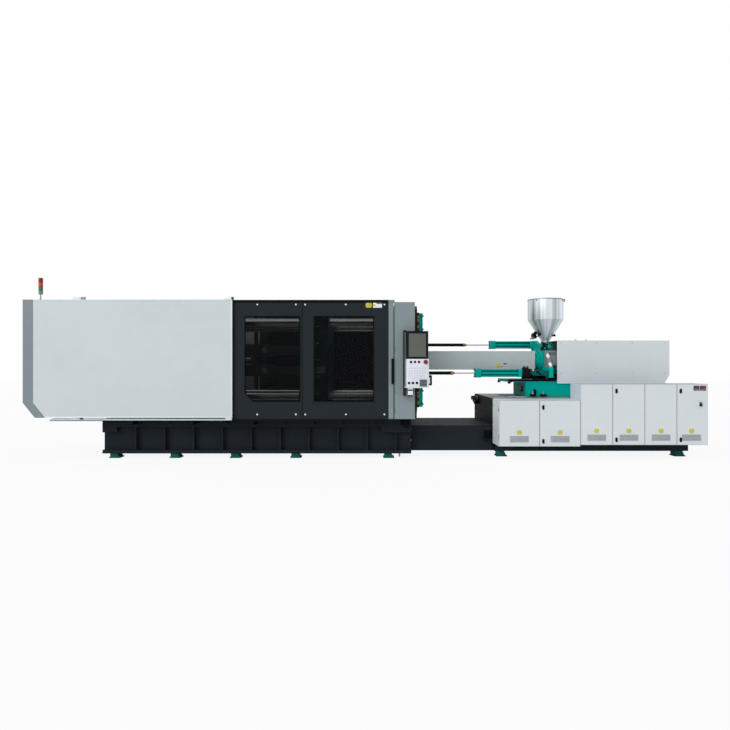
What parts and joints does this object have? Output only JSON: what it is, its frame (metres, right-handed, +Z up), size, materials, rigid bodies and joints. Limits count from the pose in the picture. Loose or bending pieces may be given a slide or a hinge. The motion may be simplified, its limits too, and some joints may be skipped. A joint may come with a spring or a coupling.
{
  "type": "injection moulding machine",
  "caption": "Horizontal injection moulding machine: double toggle clamp behind sliding gates, screw injection unit with hopper on a carriage, operator panel and control cabinets.",
  "frame": {"origin": "on the floor, below the middle of the machine's length and width", "axes": "+X along the machine from the clamp to the injection end, -Y towards the operator, +Z up"},
  "size_m": [9.802, 2.426, 2.63],
  "materials": {
    "cover_paint": "satin",
    "end_paint": "satin",
    "gate_paint": "satin",
    "window": "clear tinted",
    "column_paint": "satin",
    "base_paint": "satin",
    "foot_paint": "painted",
    "platen_paint": "painted",
    "link_iron": "painted",
    "ground_steel": "ground",
    "machined_steel": "machined",
    "unit_paint": "satin",
    "barrel_cover_paint": "satin",
    "stainless": "brushed",
    "cabinet_paint": "satin",
    "panel_shell": "fine textured",
    "screen_glass": "gloss",
    "stop_red": "gloss",
    "button_black": "matte",
    "lamp_lens": "gloss"
  },
  "bodies": {
    "base": {"clamp_base": "base_paint", "bridge_frame": "base_paint", "injection_base_frame": "base_paint", "levelling_feet": "foot_paint", "fixed_platen": "platen_paint", "tie_bars": "ground_steel", "tie_bar_retainers": "platen_paint", "slide_rails": "machined_steel", "side_covers": "cover_paint", "end_cover": "end_paint", "gate_rails": "gate_paint", "platen_covers": "column_paint", "tower_light": "lamp_lens", "panel_bracket": "base_paint", "carriage_rods": "ground_steel", "cabinets": "cabinet_paint", "power_unit": "unit_paint"},
    "rear_platen_unit": {"rear_platen": "platen_paint", "crosshead_guides": "ground_steel", "clamp_cylinder": "link_iron"},
    "rear_link_up": {"rear_link_upper": "link_iron"},
    "rear_link_low": {"rear_link_lower": "link_iron"},
    "front_link_up": {"front_link_upper": "link_iron"},
    "front_link_low": {"front_link_lower": "link_iron"},
    "cross_link_up": {"cross_link_upper": "link_iron"},
    "cross_link_low": {"cross_link_lower": "link_iron"},
    "crosshead_unit": {"crosshead": "link_iron", "piston_rod": "ground_steel"},
    "moving_platen_unit": {"moving_platen": "platen_paint"},
    "ejector_unit": {"ejector_plate": "machined_steel"},
    "front_gate_unit": {"front_gate": "gate_paint", "front_gate_windows": "window"},
    "rear_gate_unit": {"rear_gate": "gate_paint", "rear_gate_windows": "window"},
    "operator_panel": {"panel_housing": "panel_shell", "panel_screen": "screen_glass", "panel_buttons": "button_black"},
    "stop_button": {"emergency_stop": "stop_red"},
    "carriage_unit": {"carriage": "unit_paint", "carriage_cylinders": "unit_paint", "injection_housing": "unit_paint", "barrel": "machined_steel", "barrel_cover": "barrel_cover_paint", "hopper": "stainless", "injection_cover": "cover_paint"},
    "screw_drive_unit": {"screw_drive": "unit_paint"},
    "screw_unit": {"screw": "ground_steel"},
    "lid": {"hopper_lid": "stainless"},
    "switch_knob": {"main_switch": "stop_red"},
    "door_1": {"cabinet_door_1": "cabinet_paint"},
    "door_2": {"cabinet_door_2": "cabinet_paint"},
    "door_3": {"cabinet_door_3": "cabinet_paint"},
    "door_4": {"cabinet_door_4": "cabinet_paint"},
    "door_5": {"cabinet_door_5": "cabinet_paint"},
    "door_6": {"cabinet_door_6": "cabinet_paint"}
  },
  "joints": [
    {"name": "die_height", "type": "slide", "parent": "base", "child": "rear_platen_unit", "axis": [1, 0, 0], "range_m": [0, 0.55]},
    {"name": "toggle", "type": "hinge", "parent": "rear_platen_unit", "child": "rear_link_up", "pos_m": [-2.22, 0, 1.61], "axis": [0, -1, 0], "range_deg": [0, 70]},
    {"name": "knee_upper", "type": "hinge", "parent": "rear_link_up", "child": "front_link_up", "pos_m": [-1.59, 0, 1.61], "axis": [0, -1, 0], "range_deg": [-140, 0]},
    {"name": "platen_pivot", "type": "hinge", "parent": "front_link_up", "child": "moving_platen_unit", "pos_m": [-0.96, 0, 1.61], "axis": [0, -1, 0], "range_deg": [0, 70]},
    {"name": "cross_upper", "type": "hinge", "parent": "rear_link_up", "child": "cross_link_up", "pos_m": [-1.99126, 0, 1.63404], "axis": [0, -1, 0], "range_deg": [-140, 0]},
    {"name": "crosshead_pivot", "type": "hinge", "parent": "cross_link_up", "child": "crosshead_unit", "pos_m": [-1.76252, 0, 1.61], "axis": [0, -1, 0], "range_deg": [0, 70]},
    {"name": "rear_pivot_lower", "type": "hinge", "parent": "rear_platen_unit", "child": "rear_link_low", "pos_m": [-2.22, 0, 1.29], "axis": [0, -1, 0], "range_deg": [-70, 0]},
    {"name": "knee_lower", "type": "hinge", "parent": "rear_link_low", "child": "front_link_low", "pos_m": [-1.59, 0, 1.29], "axis": [0, -1, 0], "range_deg": [0, 140]},
    {"name": "cross_lower", "type": "hinge", "parent": "rear_link_low", "child": "cross_link_low", "pos_m": [-1.99126, 0, 1.26596], "axis": [0, -1, 0], "range_deg": [0, 140]},
    {"name": "ejector_stroke", "type": "slide", "parent": "moving_platen_unit", "child": "ejector_unit", "axis": [1, 0, 0], "range_m": [0, 0.15]},
    {"name": "front_gate_slide", "type": "slide", "parent": "base", "child": "front_gate_unit", "axis": [-1, 0, 0], "range_m": [0, 1.15]},
    {"name": "rear_gate_slide", "type": "slide", "parent": "base", "child": "rear_gate_unit", "axis": [-1, 0, 0], "range_m": [0, 1.15]},
    {"name": "panel_swivel", "type": "hinge", "parent": "base", "child": "operator_panel", "pos_m": [0.5635, -1.125, 1.4], "axis": [0, 0, -1], "range_deg": [0, 100]},
    {"name": "stop_push", "type": "slide", "parent": "operator_panel", "child": "stop_button", "axis": [0, 1, 0], "range_m": [0, 0.006], "stiffness_N_per_m": 1500, "springref_m": -0.002},
    {"name": "carriage_stroke", "type": "slide", "parent": "base", "child": "carriage_unit", "axis": [1, 0, 0], "range_m": [0, 0.35]},
    {"name": "injection_stroke", "type": "slide", "parent": "carriage_unit", "child": "screw_drive_unit", "axis": [1, 0, 0], "range_m": [0, 0.3]},
    {"name": "screw_turn", "type": "hinge", "parent": "screw_drive_unit", "child": "screw_unit", "pos_m": [3.7, 0, 1.45], "axis": [1, 0, 0], "continuous": true},
    {"name": "lid_hinge", "type": "hinge", "parent": "carriage_unit", "child": "lid", "pos_m": [3.214, 0, 2.436], "axis": [0, 1, 0], "range_deg": [0, 105]},
    {"name": "door_1_hinge", "type": "hinge", "parent": "base", "child": "door_1", "pos_m": [1.9185, -1.05, 0.54], "axis": [0, 0, -1], "range_deg": [0, 110]},
    {"name": "door_2_hinge", "type": "hinge", "parent": "base", "child": "door_2", "pos_m": [3.0815, -1.05, 0.54], "axis": [0, 0, 1], "range_deg": [0, 85]},
    {"name": "door_3_hinge", "type": "hinge", "parent": "base", "child": "door_3", "pos_m": [3.0845, -1.05, 0.6675], "axis": [0, 0, -1], "range_deg": [0, 85]},
    {"name": "door_4_hinge", "type": "hinge", "parent": "base", "child": "door_4", "pos_m": [4.0025, -1.05, 0.6675], "axis": [0, 0, 1], "range_deg": [0, 85]},
    {"name": "door_5_hinge", "type": "hinge", "parent": "base", "child": "door_5", "pos_m": [4.0055, -1.05, 0.6675], "axis": [0, 0, -1], "range_deg": [0, 85]},
    {"name": "door_6_hinge", "type": "hinge", "parent": "base", "child": "door_6", "pos_m": [4.9025, -1.05, 0.6675], "axis": [0, 0, 1], "range_deg": [0, 110]},
    {"name": "switch_turn", "type": "hinge", "parent": "door_6", "child": "switch_knob", "pos_m": [4.793, -1.05, 0.815], "axis": [0, -1, 0], "range_deg": [0, 90]}
  ],
  "couplings": [
    {"joint": "knee_upper", "follows": "toggle", "ratio": -2},
    {"joint": "platen_pivot", "follows": "toggle", "ratio": 1},
    {"joint": "cross_upper", "follows": "toggle", "ratio": -2},
    {"joint": "crosshead_pivot", "follows": "toggle", "ratio": 1},
    {"joint": "rear_pivot_lower", "follows": "toggle", "ratio": -1},
    {"joint": "knee_lower", "follows": "toggle", "ratio": 2},
    {"joint": "cross_lower", "follows": "toggle", "ratio": 2}
  ]
}
